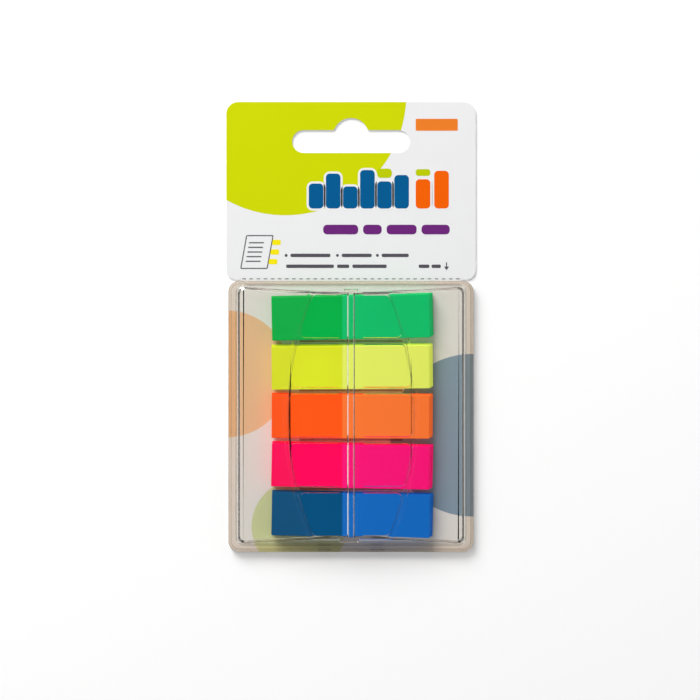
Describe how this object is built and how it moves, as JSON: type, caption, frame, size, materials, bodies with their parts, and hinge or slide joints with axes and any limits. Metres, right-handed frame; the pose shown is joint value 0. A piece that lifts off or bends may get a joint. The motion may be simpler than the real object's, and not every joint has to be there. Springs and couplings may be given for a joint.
{
  "type": "sticky index tabs",
  "caption": "Stacks of neon film page flags side by side in a clear vaulted pop-up dispenser with open windows, on a hang card with a tear-off header.",
  "frame": {"origin": "middle of the pack's footprint, at the height of the surface that the card's back lies on", "axes": "+X to the right seen from the front with the header up, +Y towards the header with the hang hole, +Z out of the front of the pack"},
  "size_m": [0.07, 0.1262, 0.0095],
  "materials": {
    "card": "coated print",
    "tray": "clear",
    "cover": "clear",
    "film_green": "satin film",
    "film_yellow": "satin film",
    "film_orange": "satin film",
    "film_pink": "satin film",
    "film_blue": "satin film"
  },
  "bodies": {
    "root": {"backing_card": "card", "base_tray": "tray", "dispenser_cover": "cover", "flag_stack_green": "film_green", "flag_stack_yellow": "film_yellow", "flag_stack_orange": "film_orange", "flag_stack_pink": "film_pink", "flag_stack_blue": "film_blue"}
  },
  "joints": []
}
